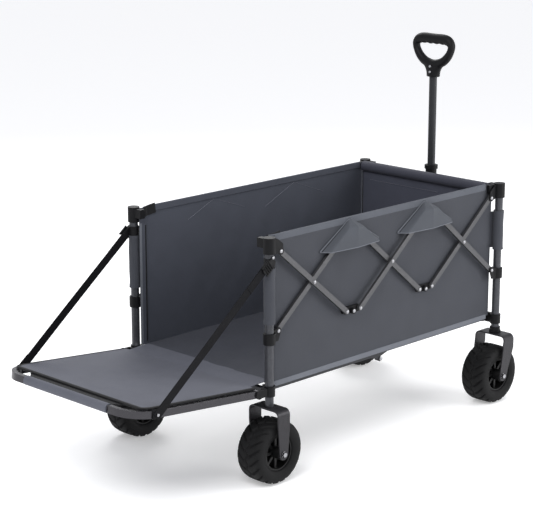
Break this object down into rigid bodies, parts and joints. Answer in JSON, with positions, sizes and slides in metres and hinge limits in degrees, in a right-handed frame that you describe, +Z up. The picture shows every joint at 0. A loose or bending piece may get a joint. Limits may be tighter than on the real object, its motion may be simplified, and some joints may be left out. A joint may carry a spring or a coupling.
{
  "type": "folding camp wagon",
  "caption": "Collapsible fabric-sided camp wagon with scissor sides, a drop tailgate held by straps, wide wheels and a telescopic pull handle.",
  "frame": {"origin": "on the ground under the middle of the whole wagon with its tailgate open", "axes": "+X from the tailgate end to the handle end, +Y from the near side to the far side, +Z up"},
  "size_m": [1.561, 0.667, 1.118],
  "materials": {
    "hammered_tube": "hammered powder coat",
    "scissor_steel": "satin powder coat",
    "gate_tube": "satin powder coat",
    "black_bracket": "fine moulded texture",
    "tyre": "matt rubber",
    "rim": "moulded",
    "fork_steel": "hammered powder coat",
    "frame_steel": "satin powder coat",
    "floor_board": "laminated board",
    "bag_fabric": "coated polyester weave",
    "gate_fabric": "coated polyester weave",
    "webbing": "woven webbing",
    "handle_steel": "satin powder coat",
    "grip_plastic": "soft-touch plastic"
  },
  "bodies": {
    "tail_frame": {"post_tail_near": "hammered_tube", "post_tail_far": "hammered_tube", "cap_tail_near": "black_bracket", "cap_tail_far": "black_bracket", "rail_brackets_tail": "black_bracket", "crossbar_tail": "frame_steel", "fork_tail_near": "fork_steel", "fork_tail_far": "fork_steel", "gate_brackets": "black_bracket", "strap_buckles": "black_bracket", "bag_tail": "bag_fabric", "straps": "webbing"},
    "front_frame": {"post_front_near": "hammered_tube", "post_front_far": "hammered_tube", "cap_front_near": "black_bracket", "cap_front_far": "black_bracket", "rail_brackets_front": "black_bracket", "crossbar_front_top": "frame_steel", "crossbar_front_low": "frame_steel", "caster_collars": "black_bracket", "handle_yoke": "frame_steel", "bag_front": "bag_fabric"},
    "scissor_1a": {"arm_1a_near": "scissor_steel", "arm_1a_far": "scissor_steel"},
    "scissor_1b": {"arm_1b_near": "scissor_steel", "arm_1b_far": "scissor_steel"},
    "scissor_2a": {"arm_2a_near": "scissor_steel", "arm_2a_far": "scissor_steel"},
    "scissor_2b": {"arm_2b_near": "scissor_steel", "arm_2b_far": "scissor_steel"},
    "scissor_3a": {"arm_3a_near": "scissor_steel", "arm_3a_far": "scissor_steel"},
    "scissor_3b": {"arm_3b_near": "scissor_steel", "arm_3b_far": "scissor_steel"},
    "hub_low_tail": {"hubs_low_tail": "black_bracket"},
    "hub_low_front": {"hubs_low_front": "black_bracket"},
    "hub_top_tail": {"hubs_top_tail": "black_bracket"},
    "hub_top_front": {"hubs_top_front": "black_bracket"},
    "slider_tail": {"sliders_tail": "black_bracket"},
    "slider_front": {"sliders_front": "black_bracket"},
    "floor_tail": {"floor_rails_tail": "frame_steel", "floor_board_tail": "floor_board"},
    "floor_front": {"floor_rails_front": "frame_steel", "floor_board_front": "floor_board"},
    "tailgate": {"tailgate_frame": "gate_tube", "tailgate_panel": "gate_fabric"},
    "caster_near": {"caster_fork_near": "fork_steel"},
    "caster_far": {"caster_fork_far": "fork_steel"},
    "wheel_tail_near": {"tyre_tail_near": "tyre", "rim_tail_near": "rim"},
    "wheel_tail_far": {"tyre_tail_far": "tyre", "rim_tail_far": "rim"},
    "wheel_front_near": {"tyre_front_near": "tyre", "rim_front_near": "rim"},
    "wheel_front_far": {"tyre_front_far": "tyre", "rim_front_far": "rim"},
    "handle": {"handle_tube": "handle_steel", "handle_collar": "grip_plastic"},
    "handle_inner": {"handle_shaft": "handle_steel", "handle_grip": "grip_plastic"}
  },
  "joints": [
    {"name": "fold", "type": "hinge", "parent": "tail_frame", "child": "scissor_1a", "pos_m": [-0.2485, 0, 0.645], "axis": [0, 1, 0], "range_deg": [0, 34], "deforming": ["bag_tail", "bag_front"]},
    {"name": "hub_low_tail_turn", "type": "hinge", "parent": "scissor_1a", "child": "hub_low_tail", "pos_m": [0.0235, 0, 0.421], "axis": [0, 1, 0], "range_deg": [-37, 0]},
    {"name": "arm_2b_turn", "type": "hinge", "parent": "hub_low_tail", "child": "scissor_2b", "pos_m": [0.0795, 0, 0.421], "axis": [0, 1, 0], "range_deg": [-37, 0]},
    {"name": "arm_2a_turn", "type": "hinge", "parent": "scissor_2b", "child": "scissor_2a", "pos_m": [0.2155, 0, 0.533], "axis": [0, 1, 0], "range_deg": [0, 71]},
    {"name": "hub_low_front_turn", "type": "hinge", "parent": "scissor_2a", "child": "hub_low_front", "pos_m": [0.3515, 0, 0.421], "axis": [0, 1, 0], "range_deg": [-37, 0]},
    {"name": "arm_3b_turn", "type": "hinge", "parent": "hub_low_front", "child": "scissor_3b", "pos_m": [0.4075, 0, 0.421], "axis": [0, 1, 0], "range_deg": [-37, 0]},
    {"name": "front_frame_turn", "type": "hinge", "parent": "scissor_3b", "child": "front_frame", "pos_m": [0.6795, 0, 0.645], "axis": [0, 1, 0], "range_deg": [0, 37]},
    {"name": "arm_1b_turn", "type": "hinge", "parent": "scissor_1a", "child": "scissor_1b", "pos_m": [-0.1125, 0, 0.533], "axis": [0, 1, 0], "range_deg": [-68.5, 0]},
    {"name": "slider_tail_turn", "type": "hinge", "parent": "scissor_1b", "child": "slider_tail", "pos_m": [-0.2485, 0, 0.421], "axis": [0, 1, 0], "range_deg": [0, 34.5]},
    {"name": "hub_top_tail_turn", "type": "hinge", "parent": "scissor_1b", "child": "hub_top_tail", "pos_m": [0.0235, 0, 0.645], "axis": [0, 1, 0], "range_deg": [0, 34.5]},
    {"name": "hub_top_front_turn", "type": "hinge", "parent": "scissor_2b", "child": "hub_top_front", "pos_m": [0.3515, 0, 0.645], "axis": [0, 1, 0], "range_deg": [0, 34.5]},
    {"name": "arm_3a_turn", "type": "hinge", "parent": "scissor_3b", "child": "scissor_3a", "pos_m": [0.5435, 0, 0.533], "axis": [0, 1, 0], "range_deg": [0, 68.5]},
    {"name": "slider_front_turn", "type": "hinge", "parent": "scissor_3a", "child": "slider_front", "pos_m": [0.6795, 0, 0.421], "axis": [0, 1, 0], "range_deg": [-34.5, 0]},
    {"name": "floor_tail_lift", "type": "hinge", "parent": "tail_frame", "child": "floor_tail", "pos_m": [-0.2535, 0, 0.259], "axis": [0, 1, 0], "range_deg": [-69.95, 0]},
    {"name": "floor_front_lift", "type": "hinge", "parent": "front_frame", "child": "floor_front", "pos_m": [0.6845, 0, 0.259], "axis": [0, 1, 0], "range_deg": [0, 62.53]},
    {"name": "tailgate_hinge", "type": "hinge", "parent": "tail_frame", "child": "tailgate", "pos_m": [-0.3295, 0, 0.26], "axis": [0, 1, 0], "range_deg": [0, 85], "deforming": ["straps"]},
    {"name": "wheel_tail_near_spin", "type": "hinge", "parent": "tail_frame", "child": "wheel_tail_near", "pos_m": [-0.2845, -0.272, 0.09], "axis": [0, 1, 0], "continuous": true},
    {"name": "caster_near_swivel", "type": "hinge", "parent": "front_frame", "child": "caster_near", "pos_m": [0.7155, -0.272, 0.216], "axis": [0, 0, 1], "continuous": true},
    {"name": "wheel_front_near_spin", "type": "hinge", "parent": "caster_near", "child": "wheel_front_near", "pos_m": [0.6905, -0.272, 0.09], "axis": [0, 1, 0], "continuous": true},
    {"name": "wheel_tail_far_spin", "type": "hinge", "parent": "tail_frame", "child": "wheel_tail_far", "pos_m": [-0.2845, 0.272, 0.09], "axis": [0, 1, 0], "continuous": true},
    {"name": "caster_far_swivel", "type": "hinge", "parent": "front_frame", "child": "caster_far", "pos_m": [0.7155, 0.272, 0.216], "axis": [0, 0, 1], "continuous": true},
    {"name": "wheel_front_far_spin", "type": "hinge", "parent": "caster_far", "child": "wheel_front_far", "pos_m": [0.6905, 0.272, 0.09], "axis": [0, 1, 0], "continuous": true},
    {"name": "handle_tilt", "type": "hinge", "parent": "front_frame", "child": "handle", "pos_m": [0.7325, 0, 0.262], "axis": [0, 1, 0], "range_deg": [0, 75]},
    {"name": "handle_slide", "type": "slide", "parent": "handle", "child": "handle_inner", "axis": [0, 0, 1], "range_m": [-0.255, 0]}
  ],
  "couplings": [
    {"joint": "hub_low_tail_turn", "follows": "fold", "ratio": -1},
    {"joint": "arm_2b_turn", "follows": "fold", "ratio": -1},
    {"joint": "arm_2a_turn", "follows": "fold", "ratio": 2},
    {"joint": "hub_low_front_turn", "follows": "fold", "ratio": -1},
    {"joint": "arm_3b_turn", "follows": "fold", "ratio": -1},
    {"joint": "front_frame_turn", "follows": "fold", "ratio": 1},
    {"joint": "arm_1b_turn", "follows": "fold", "ratio": -2},
    {"joint": "slider_tail_turn", "follows": "fold", "ratio": 1},
    {"joint": "hub_top_tail_turn", "follows": "fold", "ratio": 1},
    {"joint": "hub_top_front_turn", "follows": "fold", "ratio": 1},
    {"joint": "arm_3a_turn", "follows": "fold", "ratio": 2},
    {"joint": "slider_front_turn", "follows": "fold", "ratio": -1},
    {"joint": "floor_tail_lift", "follows": "fold", "ratio": -2.0427},
    {"joint": "floor_front_lift", "follows": "fold", "ratio": 1.8245}
  ]
}
